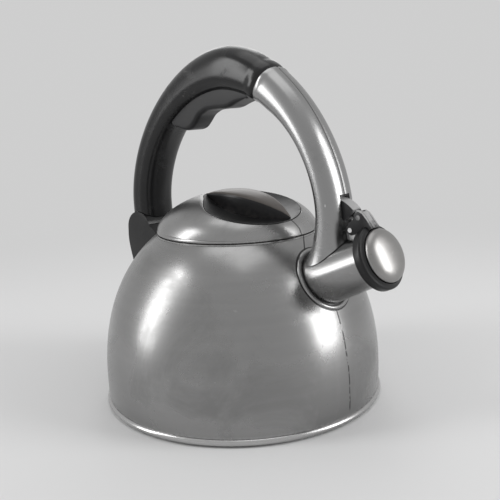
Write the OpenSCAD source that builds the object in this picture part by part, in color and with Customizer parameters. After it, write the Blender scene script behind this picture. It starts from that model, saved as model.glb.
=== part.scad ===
// Stovetop whistling kettle with a lift-to-open spout cap.
// Units are millimetres. +Z is up, +X points towards the spout, and the origin is the
// centre of the underside of the base.

/* [Body] */
// Largest radius of the body wall
body_r = 103.6; // [95:0.5:115]
// Height at which the body is widest
widest_z = 20; // [15:1:30]
// Height of the body's shoulder, where the neck ring sits
neck_z = 124; // [118:1:132]
// Radius of the body's open top
neck_r = 60; // [56:0.5:64]
// Roundness of the dome, 2 is an ellipse
body_round = 2.2; // [2:0.1:2.6]
// Thickness of the steel sheet
sheet = 1; // [0.8:0.1:1.4]

/* [Base] */
// Radius of the outer base plate
plate_r = 94; // [80:1:96]
// Thickness of the outer base plate
plate_t = 1; // [0.8:0.1:1.5]
// Radius of the aluminium disc above the plate
disc_r = 91; // [76:1:93]
// Thickness of the aluminium disc
disc_t = 3; // [2:0.5:4]
// Radius of the rolled rim's bead
bead_r = 2.4; // [2.2:0.1:2.8]

/* [Neck and lid] */
// Inner radius of the neck
mouth_r = 52; // [48:0.5:54]
// Depth of the neck skirt below the shoulder
neck_skirt = 12; // [8:1:16]
// Outer radius of the lid
lid_r = 59.6; // [57:0.1:61]
// Height of the lid's dome above its rim
lid_rise = 28; // [24:1:32]
// Fullness of the lid's dome, 0.5 is an ellipse
lid_full = 0.58; // [0.5:0.01:0.62]
// Depth of the lid's locating skirt
lid_skirt_h = 11; // [8:0.5:12]
// Gap between the lid's skirt and the neck
lid_gap = 1.6; // [1.2:0.1:2]
// How far the lid lifts straight up
lid_lift = 32; // [20:1:40]

/* [Lid recess] */
// Centre of the recess along X
recess_x = 15; // [0:1:18]
// Centre of the recess along Y
recess_y = -4; // [-8:1:8]
// Turn of the grip bar about the vertical
recess_turn = 8; // [-20:1:20]
// Radius of the recess
recess_r = 39; // [37:0.5:41]
// Depth of the recess's middle below the dome
recess_depth = 13; // [10:0.5:15]
// Length of the grip bar from tip to tip
bar_len = 76; // [70:1:77]
// Width of the grip bar at its middle
bar_w = 23; // [16:1:26]
// Rise of the grip bar above the dome
bar_rise = 1.6; // [0.5:0.1:3]

/* [Spout] */
// How far inside the body's wall the spout's root lies
spout_root = 2.57; // [1:0.01:6]
// Height of the spout's root
spout_z = 98.5; // [92:0.5:104]
// Rise of the spout above the horizontal, in degrees
spout_rise = 24; // [18:1:28]
// Outer radius of the spout at its mouth
tube_r = 16.6; // [15:0.1:17.2]
// Outer radius of the spout at its root
root_r = 19; // [17.4:0.1:20]
// Length of the spout tube from its root
tube_len = 47; // [44:1:50]
// Radius of the collar round the spout's root
collar_r = 23; // [22:0.5:25]
// Thickness of the collar
collar_t = 1.2; // [1:0.1:1.6]

/* [Cap] */
// Outer radius of the cap's ring
cap_r = 22.3; // [21.8:0.1:23]
// Depth of the cap's ring
cap_depth = 8; // [7:0.5:9]
// Radius of the cap's dome
dome_r = 18.4; // [17.6:0.1:19]
// Height of the cap's dome
dome_h = 7.5; // [6:0.5:9]
// Overlap of the cap's skirt on the tube
cap_overlap = 1.6; // [1:0.1:2.2]
// Radius of the whistle's holes
whistle_hole = 1.4; // [1:0.1:2]

/* [Cap linkage] */
// Cap hinge, distance back from the spout's mouth
hinge_back = 8.4; // [8:0.1:9]
// Cap hinge, distance from the spout's axis
hinge_up = 22.77; // [22.4:0.01:23.2]
// Pin between link and lever, distance in front of the cap hinge
mid_ahead = 6; // [5.5:0.1:6.5]
// Pin between link and lever, height above the cap hinge
mid_above = 8.5; // [8:0.1:9]
// Pin between arm and link, place along the arch in degrees
link_at = 7.78; // [7:0.01:8.5]
// Pin between arm and link, distance outside the arm's centreline
link_out = 2.93; // [2.5:0.01:3.5]
// Width of the lever and the link
lever_w = 9.6; // [9:0.2:11]
// Width of the tongues inside their forks
tongue_w = 4; // [3:0.2:4.6]
// Radius of the small pins
pin_r = 1.6; // [1.2:0.1:2]

/* [Handle] */
// Height of the top of the handle
handle_top = 257.5; // [250:1:270]
// How far the handle's centreline stands in front of the spout's root
front_out = 10; // [8:0.5:12]
// How far the handle's centreline bulges behind the rear pin
rear_out = 1; // [0:0.5:3]
// Height where the legs end and the arch begins
arch_z = 140; // [135:1:145]
// Roundness of the arch, 2 is an ellipse
arch_round = 1.8; // [1.6:0.05:2.1]
// Place along the arch, in degrees, of the joint between arm and grip
joint_at = 63; // [55:1:70]
// Wall of the metal arm
arm_wall = 2; // [1.6:0.1:2.4]
// Rise of the handle in use, in degrees about its rear pin
handle_travel = 2.5; // [2:0.1:2.8]

/* [Rear bracket] */
// Rear pin, distance outside the body's wall
rear_clear = 30.76; // [27.8:0.01:33.8]
// Rear pin, height
rear_z = 118; // [115:0.5:122]
// Radius of the bracket's head
head_r = 14.4; // [13:0.2:16]
// Width of the bracket
bracket_w = 33; // [28:0.5:36]
// Radius of the rear pin
rear_pin_r = 3; // [2.5:0.1:3.5]

/* [Fits] */
// Radial clearance of a running pin
run = 0.05; // [0.02:0.01:0.1]
// Gap between parts that move past each other
gap = 0.4; // [0.3:0.05:0.6]
// Extra radial room at the pin where the linkage is open
open_room = 0.9; // [0.8:0.1:1.2]

/* [Hidden] */
$fn = 96;

far = 400;                                   // longer than the kettle
over = 1;                                    // how far a cutter runs past a face
steel = "silver";
satin = "gainsboro";
black = "dimgray";

// ---- body ----
disc_z = plate_t;
pan_z = disc_z + disc_t;
bead_z = pan_z + sheet + 0.6 - bead_r;       // the bead's top stands just above the pan's floor
bead_ring = body_r - sheet / 2 - 0.6;
wall_z = bead_z + bead_r;
body_steps = 22;

function rounded(u, p) = pow(max(0, 1 - pow(u, p)), 1 / p);
// The body's radius at height z, for a surface set in from the outside by inset
function neck_share(inset) = rounded((neck_r - inset) / (body_r - inset), body_round);
function body_rise(inset) = (neck_z - widest_z) / neck_share(0) - inset;
function body_at(z, inset) =
    (body_r - inset) * rounded(abs(z - widest_z) / body_rise(inset), body_round);
function body_line(inset, z0, z1) =
    [for (i = [0 : body_steps]) let (z = z0 + (z1 - z0) * sin(90 * i / body_steps)) [body_at(z, inset), z]];
function backwards(list) = [for (i = [len(list) - 1 : -1 : 0]) list[i]];

spout_x = body_at(spout_z, 0) - spout_root;
rear_x = body_at(rear_z, 0) + rear_clear;

// The body as a solid, grown outwards by grow
module body_solid(grow) {
    rotate_extrude()
        polygon(concat([[0, wall_z]], body_line(-grow, wall_z, neck_z + grow), [[0, neck_z + grow]]));
}

// ---- lid ----
lid_z = neck_z + sheet + 0.3;                // underside of the lid's rim, resting on the neck ring
lip_h = sheet;
dome_z = lid_z + lip_h;
skirt_r = mouth_r - lid_gap;
lid_steps = 16;
function lid_line(inset) =
    [for (i = [0 : lid_steps]) let (t = 90 * (1 - i / lid_steps))
        [(lid_r - inset) * sin(t), dome_z + (lid_rise - inset) * pow(cos(t), 2 * lid_full)]];
function lid_height(r) = dome_z + lid_rise * pow(1 - pow(r / lid_r, 2), lid_full);
recess_mid = [recess_x, recess_y];
recess_shape = 2.6;                          // fullness of the recess's floor
recess_rings = 9;
recess_sides = 60;
dish_t = 2;
clamp_t = 1.5;
clamp_half_w = 6;
bar_screw_at = 20;
bar_stations = 24;
screw_r = 2;
screw_head_r = 3.4;
screw_head_h = 2;
// Height of the dome, and of the recess's floor, over the point p seen from above
function dome_at(p) = lid_height(norm(p));
function sink_at(p) = recess_depth * (1 - pow(min(1, norm(p - recess_mid) / recess_r), recess_shape));
function floor_at(p) = dome_at(p) - sink_at(p);
// The point u along the bar and v across it, seen from above
function bar_point(u, v) = recess_mid + [u * cos(recess_turn) - v * sin(recess_turn),
    u * sin(recess_turn) + v * cos(recess_turn)];
// Half width of the bar at u: two round sides that meet in a tip at each end
bar_side_r = (bar_len * bar_len / 4 + bar_w * bar_w / 4) / bar_w;
function bar_half(u) = sqrt(pow(bar_side_r, 2) - u * u) - bar_side_r + bar_w / 2;
function on_dome(p, lift) = [p[0], p[1], dome_at(p) + lift];
function on_floor(p, lift) = [p[0], p[1], floor_at(p) + lift];
function recess_ring(f, lift) = [for (k = [0 : recess_sides - 1]) let (w = 360 * k / recess_sides)
    on_floor(recess_mid + f * recess_r * [cos(w), sin(w)], lift)];

// ---- spout and cap ----
mouth_s = tube_len;
cap_s = tube_len - cap_overlap;              // back face of the cap along the spout's axis
skirt_depth = cap_overlap + gap;
pocket_r = tube_r + 0.2;
disc_s = skirt_depth;
whistle_t = 0.6;
spacer_h = 2.4;
dome_wall = 0.8;
front_disc_z = disc_s + whistle_t + spacer_h;
dome_foot_z = front_disc_z + whistle_t;
vent_r = spacer_h / 3;
// The spout's frame: Z runs out along the tube from its root
module at_spout() {
    translate([spout_x, 0, spout_z]) rotate([0, 90 - spout_rise, 0]) children();
}
function spout_r(s) = tube_r + (root_r - tube_r) * (1 - s / tube_len);
// The spout's cone as a solid between two places along its axis, grown outwards by grow
module spout_solid(grow, from, to) {
    at_spout() translate([0, 0, from]) cylinder(r1 = spout_r(from) + grow, r2 = spout_r(to) + grow, h = to - from);
}
module at_cap() { at_spout() translate([0, 0, cap_s]) children(); }
function spout_point(s, n) =
    [spout_x + s * cos(spout_rise) - n * sin(spout_rise), spout_z + s * sin(spout_rise) + n * cos(spout_rise)];

// A cylinder across the kettle, along Y, centred on y = 0
module across(x, z, r, w) {
    translate([x, 0, z]) rotate([90, 0, 0]) cylinder(r = r, h = w, center = true);
}
// A flat outline drawn in X and Z, given width w along Y
module plate(w) { rotate([90, 0, 0]) linear_extrude(w, center = true) children(); }
module disc_at(p, r) { translate(p) circle(r = r, $fn = 40); }

hinge = spout_point(tube_len - hinge_back, hinge_up);
mid = hinge + [mid_ahead, mid_above];
knuckle_r = 3.9;
lug_back = 14;                               // the lug's foot, measured back from the spout's mouth
lug_front = 4;
elbow = mid + [-9.8, 5.1];                   // the link's bend outside the arm
elbow_r = 4.6;
link_root_r = 4.2;
slot_below = 17;                             // how far the arm's slot reaches below the link's pin
ring_seat = spout_point(cap_s + cap_depth / 2, cap_r - 1.5);

// ---- handle ----
front_reach = spout_x + front_out;
rear_reach = rear_x + rear_out;
top_half = 16;                               // half thickness at the top of the arch
apex_z = handle_top - top_half;
foot_drop = 37;
foot_lean = 6;
rear_drop = arch_z - rear_z;
rear_lean = rear_reach - rear_x;
foot_corner = [spout_x + 3, spout_z + 8.5];  // the foot's lower edge starts here and rises along the spout
foot_rise = spout_rise + 13;
foot_t = -30;
rear_t = 210;
section_round = 2.3;
sides = 24;
// The centreline at place t, in degrees: 0 and 180 are the feet of the arch, 90 is its top
function power(v, p) = sign(v) * pow(abs(v), p);
function line_at(t) =
    t < 0 ? [front_reach - foot_lean * pow(t / foot_t, 2), arch_z - foot_drop * t / foot_t]
    : t > 180 ? [-rear_reach + rear_lean * pow((t - 180) / 30, 2), arch_z - rear_drop * (t - 180) / 30]
    : [(t < 90 ? front_reach : rear_reach) * power(cos(t), 2 / arch_round),
       arch_z + (apex_z - arch_z) * power(sin(t), 2 / arch_round)];
function unit(v) = v / norm(v);
function along(t) = unit(line_at(t + 0.5) - line_at(t - 0.5));
// Half thickness in the plane of the arch, and half width across it
function half_in(t) = lookup(t, [[-30, 12.5], [-18, 11.3], [0, 10.5], [30, 10.8], [50, 12], [63, 13.2],
    [78, 15.4], [90, top_half], [102, 15.4], [130, 12.8], [150, 12], [210, 12]]);
function half_out(t) = lookup(t, [[-30, 16.5], [-18, 15.2], [0, 14.6], [45, 14.8], [63, 15.4], [90, 16.5],
    [130, 16.6], [210, 16.4]]);
// One ring of the handle's skin at place t, set in from the outside by inset
function handle_ring(t, inset) = let (c = line_at(t), d = along(t))
    [for (k = [0 : sides - 1]) let (w = 360 * k / sides,
        u = (half_in(t) - inset) * power(cos(w), 2 / section_round),
        v = (half_out(t) - inset) * power(sin(w), 2 / section_round))
        [c[0] + u * d[1], v, c[1] - u * d[0]]];
// A square ring, half thickness a and half width b, pushed out from the centreline by shift
function bar_ring(t, a, b, shift) = let (c = line_at(t), d = along(t))
    [for (p = [[a, b], [-a, b], [-a, -b], [a, -b]])
        [c[0] + (p[0] + shift) * d[1], p[1], c[1] - (p[0] + shift) * d[0]]];
link = line_at(link_at) + [link_out, 0];
function steps(a, b, n) = [for (i = [0 : n]) a + (b - a) * i / n];
// Joins a list of rings into a closed solid. A looped list has its last ring joined to its first.
module loft(rings, looped) {
    n = len(rings[0]);
    m = len(rings);
    quads = [for (i = [0 : m - (looped ? 1 : 2)], k = [0 : n - 1]) let (j = (i + 1) % m, l = (k + 1) % n)
        [i * n + k, j * n + k, j * n + l, i * n + l]];
    triangles = [for (q = quads) each [[q[0], q[1], q[2]], [q[0], q[2], q[3]]]];
    caps = looped ? [] : [[for (k = [0 : n - 1]) k], [for (k = [n - 1 : -1 : 0]) (m - 1) * n + k]];
    polyhedron([for (r = rings) each r], concat(triangles, caps), convexity = 8);
}

core_in = 2.5;                               // half thickness of the steel core
core_out = 5;                                // half width of the steel core
core_from = joint_at - 24;
core_to = 204;
eye_r = 8.5;
slot_r = head_r + gap;                       // the round hollow in the grip's end
post_len = 9;
post_w = 8;
stop_r = 2;
stop_z = 128;
stop_x = line_at(foot_t * (arch_z - stop_z) / foot_drop)[0];
stop_reach = norm([stop_x + rear_x, stop_z - rear_z]);
stop_rise = 2 * stop_reach * sin(handle_travel / 2);
stop_shift = stop_rise * (stop_z - rear_z + stop_rise / 2) / (stop_x + rear_x);  // the pin's arc leans back
post_root_s = (stop_x - spout_x + tube_r * sin(spout_rise)) / cos(spout_rise);
post_foot_z = spout_point(post_root_s, tube_r - sheet)[1];
post_top_z = stop_z + stop_rise + 5;
screw_at = joint_at - 7;

// ================= body =================
module body_shell() color(steel)
    difference() {
        rotate_extrude()
            polygon(concat(body_line(0, wall_z, neck_z), backwards(body_line(sheet, wall_z, neck_z))));
        spout_solid(0, -tube_len, tube_len);
        for (z = rivet_z) rivet_line(z) cylinder(r = rivet_r, h = far / 8, center = true);
    }

module base_pan() color(steel) {
    rotate_extrude() translate([bead_ring, bead_z]) circle(r = bead_r, $fn = 48);
    translate([0, 0, pan_z]) cylinder(r = bead_ring - bead_r / 2, h = sheet);
}

module heat_disc() color("darkgray") translate([0, 0, disc_z]) cylinder(r = disc_r, h = disc_t);

module base_plate() color(steel)
    difference() {
        cylinder(r = plate_r, h = pan_z);
        translate([0, 0, plate_t]) cylinder(r = disc_r, h = pan_z);
    }

module neck_ring() color(steel) {
    difference() {
        union() {
            translate([0, 0, neck_z]) cylinder(r = neck_r, h = sheet);
            translate([0, 0, neck_z - neck_skirt]) cylinder(r = mouth_r + sheet, h = neck_skirt);
        }
        translate([0, 0, neck_z - neck_skirt - over]) cylinder(r = mouth_r, h = far);
    }
}

// ================= lid =================
module lid_shell() color(steel)
    difference() {
        rotate_extrude()
            polygon(concat([[lid_r, lid_z]], lid_line(0), backwards(lid_line(sheet)), [[lid_r - sheet, lid_z]]));
        translate([recess_x, recess_y, dome_z]) cylinder(r = recess_r, h = far, $fn = 2 * recess_sides);
    }

module lid_skirt() color(steel)
    translate([0, 0, lid_z - lid_skirt_h]) difference() {
        union() {
            cylinder(r = skirt_r, h = lid_skirt_h + lip_h);
            translate([0, 0, lid_skirt_h]) cylinder(r = lid_r - sheet, h = lip_h);
        }
        translate([0, 0, -over]) cylinder(r = skirt_r - sheet, h = far);
    }

module lid_gasket() color("lightgray")
    translate([0, 0, lid_z - lid_skirt_h / 2]) rotate_extrude()
        translate([skirt_r, 0]) square([lid_gap - gap, 3]);

module lid_dish() color(black)
    difference() {
        loft(concat([for (f = steps(0.001, 1, recess_rings)) recess_ring(f, 0)],
            [for (f = steps(1, 0.001, recess_rings)) recess_ring(f, -dish_t)]), false);
        screw_shafts(screw_r);
    }

// Half widths across a strip, from one edge to the other
strip = [-1, -0.5, 0, 0.5, 1];
module lid_bar() color(satin)
    difference() {
        loft([for (u = steps(1 - bar_len / 2, bar_len / 2 - 1, bar_stations)) let (w = bar_half(u))
            concat([for (v = strip) on_floor(bar_point(u, v * w), 0)],
                [for (v = backwards(strip)) on_dome(bar_point(u, v * w), bar_rise * bar_half(u) / bar_half(0))])], false);
        screw_shafts(screw_r);
    }

// The two screws that hold the bar from below
module screw_shafts(r) {
    for (side = [-1, 1]) translate(on_floor(bar_point(side * bar_screw_at, 0), -dish_t - 2 * clamp_t))
        cylinder(r = r, h = 10, $fn = 32);
}

module lid_clamp() color(steel)
    difference() {
        loft([for (u = steps(-bar_screw_at - 7, bar_screw_at + 7, bar_stations))
            concat([for (v = strip) on_floor(bar_point(u, v * clamp_half_w), -dish_t - clamp_t)],
                [for (v = backwards(strip)) on_floor(bar_point(u, v * clamp_half_w), -dish_t)])], false);
        screw_shafts(screw_r);
    }

module lid_screws() color("darkgray") {
    screw_shafts(screw_r);
    for (side = [-1, 1])
        translate(on_floor(bar_point(side * bar_screw_at, 0), -dish_t - 2 * clamp_t - screw_head_h))
            cylinder(r = screw_head_r, h = screw_head_h, $fn = 32);
}

// ================= spout =================
module spout_tube() color(steel)
    difference() {
        spout_solid(0, -tube_len / 2, tube_len);
        spout_solid(-sheet, -tube_len, 2 * tube_len);
        body_solid(-sheet);
    }

module spout_collar() color(steel)
    difference() {
        intersection() {
            body_solid(collar_t);
            at_spout() translate([0, 0, -tube_len / 2]) cylinder(r = collar_r, h = tube_len);
        }
        body_solid(0);
        spout_solid(0, -tube_len, tube_len);
    }

module spout_lug() color(steel)
    difference() {
        plate(tongue_w) polygon([spout_point(tube_len - lug_back, tube_r - sheet),
            spout_point(tube_len - lug_front, tube_r - sheet),
            hinge + [3, -2], hinge + [2, 2.4], hinge + [-2, 2.4], hinge + [-3.4, -1]]);
        spout_solid(0, -tube_len, tube_len);
        across(hinge[0], hinge[1], pin_r, far);
    }

// The post that guides the arm's foot and stops its rise
module guide_post() color(steel)
    difference() {
        translate([stop_x, 0, (post_foot_z + post_top_z) / 2])
            cube([post_len, post_w, post_top_z - post_foot_z], center = true);
        spout_solid(0, -tube_len, tube_len);
        plate(far) {
            polygon([[stop_x + stop_r + gap, stop_z], [stop_x + stop_r + gap - stop_shift, stop_z + stop_rise],
                [stop_x - stop_r - gap - stop_shift, stop_z + stop_rise], [stop_x - stop_r - gap, stop_z]]);
            disc_at([stop_x, stop_z], stop_r + gap);
            disc_at([stop_x - stop_shift, stop_z + stop_rise], stop_r + gap);
        }
    }

// ================= cap =================
module cap_ring() color(black)
    difference() {
        at_cap() difference() {
            rotate_extrude() polygon([[0, 0], [cap_r - 1, 0], [cap_r, 1], [cap_r, cap_depth * 0.55],
                [cap_r - 0.8, cap_depth * 0.8], [cap_r - 2.2, cap_depth], [0, cap_depth]]);
            translate([0, 0, -over]) cylinder(r = tube_r + gap, h = far);
            translate([0, 0, disc_s]) cylinder(r = pocket_r, h = far);
            for (turn = [-40, 0, 40]) rotate([0, 0, turn]) translate([0, 0, disc_s + whistle_t + spacer_h / 2])
                rotate([0, 90, 0]) cylinder(r = vent_r, h = far, $fn = 24);
        }
    }

module cap_dome() color(steel)
    at_cap() rotate_extrude() polygon(concat(
        [[pocket_r - dome_wall, dome_foot_z], [pocket_r, dome_foot_z], [pocket_r, cap_depth], [dome_r, cap_depth]],
        dome_arc(dome_r, dome_h), backwards(dome_arc(dome_r - dome_wall - 0.8, dome_h - dome_wall))));
function dome_arc(r, h) =
    [for (i = [0 : 14]) let (t = 90 * i / 14) [r * power(cos(t), 0.92), cap_depth + 0.6 + h * power(sin(t), 0.92)]];

module whistle_disc(z) {
    at_cap() translate([0, 0, z]) difference() {
        cylinder(r = pocket_r, h = whistle_t);
        translate([0, 0, -over]) cylinder(r = whistle_hole, h = far, $fn = 32);
    }
}
module whistle_back_disc() color(steel) whistle_disc(disc_s);
module whistle_front_disc() color(steel) whistle_disc(front_disc_z);
module whistle_spacer() color(satin)
    at_cap() translate([0, 0, disc_s + whistle_t]) difference() {
        cylinder(r = pocket_r, h = spacer_h);
        translate([0, 0, -over]) cylinder(r = pocket_r - 2.5, h = far);
        for (turn = [-40, 0, 40]) rotate([0, 0, turn]) translate([0, 0, spacer_h / 2])
            rotate([0, 90, 0]) cylinder(r = vent_r, h = far, $fn = 24);
    }

// ================= cap linkage =================
module cap_lever() color(black)
    difference() {
        plate(lever_w) {
            hull() { disc_at(mid, knuckle_r); disc_at(hinge, knuckle_r - 0.6); }
            hull() { disc_at(mid, knuckle_r); disc_at(ring_seat, 2.5); disc_at(hinge, knuckle_r - 0.6); }
        }
        at_cap() cylinder(r = cap_r, h = cap_depth);
        spout_solid(2 * gap, 0, tube_len);
        plate(tongue_w + 2 * gap) polygon([mid + [-9, -2], mid + [-4, 9], mid + [7.4, 9], mid + [3.4, -6],
            hinge + [7, -1], hinge + [4, -9], hinge + [-9, -9]]);
        across(mid[0], mid[1], pin_r, far);
        across(hinge[0], hinge[1], pin_r + run, far);
    }

module cap_link() color(black)
    difference() {
        union() {
            plate(lever_w) {
                hull() { disc_at([link[0], link[1]], link_root_r); disc_at(elbow, elbow_r); }
                hull() { disc_at(elbow, elbow_r); disc_at([elbow[0], elbow[1] - 4], elbow_r); }
            }
            plate(tongue_w) hull() { disc_at(elbow, elbow_r); disc_at(mid, knuckle_r - 0.4); }
        }
        across(link[0], link[1], pin_r + run, far);
        across(mid[0], mid[1], pin_r + open_room, far);
    }
module lever_pin() color(steel) across(mid[0], mid[1], pin_r, lever_w);
module cap_hinge_pin() color(steel) across(hinge[0], hinge[1], pin_r, lever_w + 1);
module link_pin() color(steel) across(link[0], link[1], pin_r, 2 * half_out(5) - 1.4);

// ================= handle =================
arm_outer = steps(foot_t, joint_at, 26);
module handle_arm() color(satin)
    difference() {
        loft(concat([for (t = arm_outer) handle_ring(t, 0)], [for (t = backwards(arm_outer)) handle_ring(t, arm_wall)]),
            true);
        spout_solid(gap, -tube_len, tube_len);
        body_solid(collar_t + 2 * gap);
        translate([foot_corner[0], 0, foot_corner[1]]) rotate([0, -foot_rise, 0])
            translate([-far / 2, -far / 2, -far]) cube([far, far, far]);
        link_slot();
        across(link[0], link[1], pin_r, far);
        across(stop_x, stop_z, stop_r, far);
        joint_screw_shafts(screw_r);
    }
// The slot in the arm that the link comes out of
module link_slot() {
    translate([link[0], -lever_w / 2 - gap, link[1] - slot_below])
        cube([far / 8, lever_w + 2 * gap, slot_below + link_root_r + 2.2]);
}

grip_outer = steps(joint_at, rear_t, 34);
module handle_grip() color("black")
    difference() {
        loft(concat([for (t = grip_outer) handle_ring(t, 0)],
            [for (t = backwards(grip_outer)) channel_ring(t)]), true);
        across(-rear_x, rear_z, slot_r, far);
    }
// The channel that the core lies in, with as many points as the skin's rings
function channel_ring(t) = let (c = line_at(t), d = along(t))
    [for (k = [0 : sides - 1]) let (w = 360 * k / sides,
        u = (core_in + 0.2) * square_side(cos(w), sin(w)), v = (core_out + 0.2) * square_side(sin(w), cos(w)))
        [c[0] + u * d[1], v, c[1] - u * d[0]]];
function square_side(a, b) = a / max(abs(a), abs(b));

// The finger pad under the grip
pad_from = 68;
pad_to = 132;
pad_rings = 32;
pad_half_w = 9;
// How far the pad hangs below the grip, at share f of its length: three hollows and a heel at the back
function pad_depth(f) = lookup(f, [[0, 0.8], [0.08, 4.5], [0.14, 8], [0.23, 11.5], [0.36, 12.2], [0.52, 11.6],
    [0.64, 10.8], [0.75, 12.6], [0.86, 15.6], [0.93, 13], [0.97, 9], [1, 3]]);
// How deep the grip's skin lies below its centreline at place t, v to one side
function skin_below(t, v) = half_in(t) * rounded(abs(v) / half_out(t), section_round);
function pad_ring(i) = let (f = i / pad_rings, t = pad_from + (pad_to - pad_from) * f, c = line_at(t),
    d = along(t), deep = half_in(t) + max(0.8, pad_depth(f)), w = pad_half_w)
    [for (p = [[skin_below(t, w), w], [skin_below(t, w / 2), w / 2], [half_in(t), 0], [skin_below(t, w / 2), -w / 2],
        [skin_below(t, w), -w], [(half_in(t) + deep) / 2, -w], [deep, -0.7 * w], [deep, 0.7 * w],
        [(half_in(t) + deep) / 2, w]])
        [c[0] - (p[0] + 0.05) * d[1], p[1], c[1] + (p[0] + 0.05) * d[0]]];
module finger_pad() color("black") loft(backwards([for (i = [0 : pad_rings]) pad_ring(i)]), false);

module handle_core() color(steel)
    difference() {
        union() {
            loft([for (t = steps(core_from, core_to, 36)) bar_ring(t, core_in, core_out, 0)], false);
            across(-rear_x, rear_z, eye_r, 2 * core_out);
        }
        across(-rear_x, rear_z, rear_pin_r + run, far);
        joint_screw_shafts(screw_r);
    }

// A frame on the centreline at place t: Z points out of the arch, X back along it
module at_arch(t) {
    c = line_at(t);
    d = along(t);
    translate([c[0], 0, c[1]]) rotate([0, atan2(d[1], -d[0]), 0]) children();
}
// Two screws that hold the core in the arm from the inner side
module joint_screw_shafts(r) {
    for (side = [-1, 1]) at_arch(screw_at) translate([5 * side, 0, 0.3 - half_in(screw_at)])
        cylinder(r = r, h = half_in(screw_at) + core_in + 1, $fn = 32);
}
module core_screws() color("darkgray") joint_screw_shafts(screw_r);

module stop_pin() color(steel) across(stop_x, stop_z, stop_r, 2 * half_out(foot_t / 3) - 1.4);

// ================= rear bracket =================
rivet_r = 2.2;
rivet_z = [82, 97];
rivet_head_r = 4;
// A line square to the body's back at height z, starting at its skin and running outwards
module rivet_line(z) {
    slope = atan2(body_at(z - 1, 0) - body_at(z + 1, 0), 2);
    translate([-body_at(z, 0), 0, z]) rotate([0, slope - 90, 0]) children();
}
module rear_bracket() color("black")
    difference() {
        plate(bracket_w) {
            disc_at([-rear_x, rear_z], head_r);
            polygon([[-rear_x - head_r + 0.3, rear_z + 2], [-rear_x - head_r - 0.4, rear_z - 8],
                [-rear_x - 11, rear_z - 24], [-rear_x - 6, rear_z - 38], [-rear_x + 1, rear_z - 48],
                [-rear_x + 22, rear_z - 52],
                [-rear_x + 30, rear_z - 8], [-rear_x + head_r - 2, rear_z + 6]]);
        }
        body_solid(0);
        core_slot();
        across(-rear_x, rear_z, rear_pin_r, far);
        for (z = rivet_z) rivet_line(z) cylinder(r = rivet_r, h = far / 8, center = true);
    }
// The slot in the bracket's head that the core's eye swings in
module core_slot() {
    across(-rear_x, rear_z, eye_r + 2 * gap, 2 * (core_out + gap));
    translate([-rear_x, 0, rear_z + head_r]) cube([2 * (eye_r + 2 * gap), 2 * (core_out + gap), 2 * head_r], center = true);
}
module bracket_rivets() color(steel)
    for (z = rivet_z) rivet_line(z) {
        translate([0, 0, -sheet - 1.2]) cylinder(r = rivet_head_r, h = 1.2, $fn = 32);
        translate([0, 0, -sheet]) cylinder(r = rivet_r, h = 8, $fn = 32);
    }
module rear_pin() color(steel) across(-rear_x, rear_z, rear_pin_r, bracket_w - 1);

body_shell();
base_pan();
heat_disc();
base_plate();
neck_ring();
lid_shell();
lid_skirt();
lid_gasket();
lid_dish();
lid_bar();
lid_clamp();
lid_screws();
spout_tube();
spout_collar();
spout_lug();
guide_post();
cap_ring();
cap_dome();
whistle_back_disc();
whistle_spacer();
whistle_front_disc();
cap_lever();
lever_pin();
cap_hinge_pin();
cap_link();
link_pin();
handle_arm();
handle_grip();
finger_pad();
handle_core();
core_screws();
stop_pin();
rear_bracket();
bracket_rivets();
rear_pin();
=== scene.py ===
import bpy, bmesh
from math import sin, cos, atan2, radians, degrees, pi, sqrt, hypot, copysign, e
from mathutils import Matrix, Vector


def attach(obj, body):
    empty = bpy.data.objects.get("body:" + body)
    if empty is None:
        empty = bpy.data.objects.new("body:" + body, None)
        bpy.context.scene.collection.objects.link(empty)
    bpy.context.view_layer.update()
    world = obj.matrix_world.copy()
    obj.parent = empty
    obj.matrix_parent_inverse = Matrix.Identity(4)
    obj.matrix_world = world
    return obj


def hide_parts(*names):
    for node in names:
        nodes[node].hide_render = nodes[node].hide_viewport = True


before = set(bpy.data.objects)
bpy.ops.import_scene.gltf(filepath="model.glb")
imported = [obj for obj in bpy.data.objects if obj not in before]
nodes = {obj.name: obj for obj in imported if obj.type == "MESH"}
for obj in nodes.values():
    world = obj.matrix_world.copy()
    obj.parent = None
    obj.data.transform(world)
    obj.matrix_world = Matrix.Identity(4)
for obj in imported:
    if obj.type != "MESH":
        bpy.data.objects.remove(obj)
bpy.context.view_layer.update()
mm = 0.001
print("frame loaded:", len(nodes), "nodes")


def makePiece(name, verts, faces, body, stands=(), slot=None, sharp=35, material=None):
    mesh = bpy.data.meshes.new(name)
    mesh.from_pydata([[c * mm for c in v] for v in verts], [], faces)
    mesh.validate()
    bm = bmesh.new()
    bm.from_mesh(mesh)
    bmesh.ops.remove_doubles(bm, verts=bm.verts, dist=1e-6)
    bmesh.ops.recalc_face_normals(bm, faces=bm.faces)
    bm.to_mesh(mesh)
    bm.free()
    mesh.shade_smooth()
    mesh.set_sharp_from_angle(angle=radians(sharp))
    piece = bpy.data.objects.new(name, mesh)
    bpy.context.scene.collection.objects.link(piece)
    if material:
        mesh.materials.append(material)
    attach(piece, body)
    if stands:
        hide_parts(*stands)
    return piece


def joinRings(rings, looped=False, capped=True):  # skin over rings with the same number of points
    n, m = len(rings[0]), len(rings)
    verts = [p for ring in rings for p in ring]
    faces = []
    for i in range(m if looped else m - 1):
        j = (i + 1) % m
        for k in range(n):
            l = (k + 1) % n
            faces.append([i * n + k, i * n + l, j * n + l, j * n + k])
    if capped and not looped:
        faces += [list(range(n))[::-1], [(m - 1) * n + k for k in range(n)]]
    return verts, faces


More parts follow.
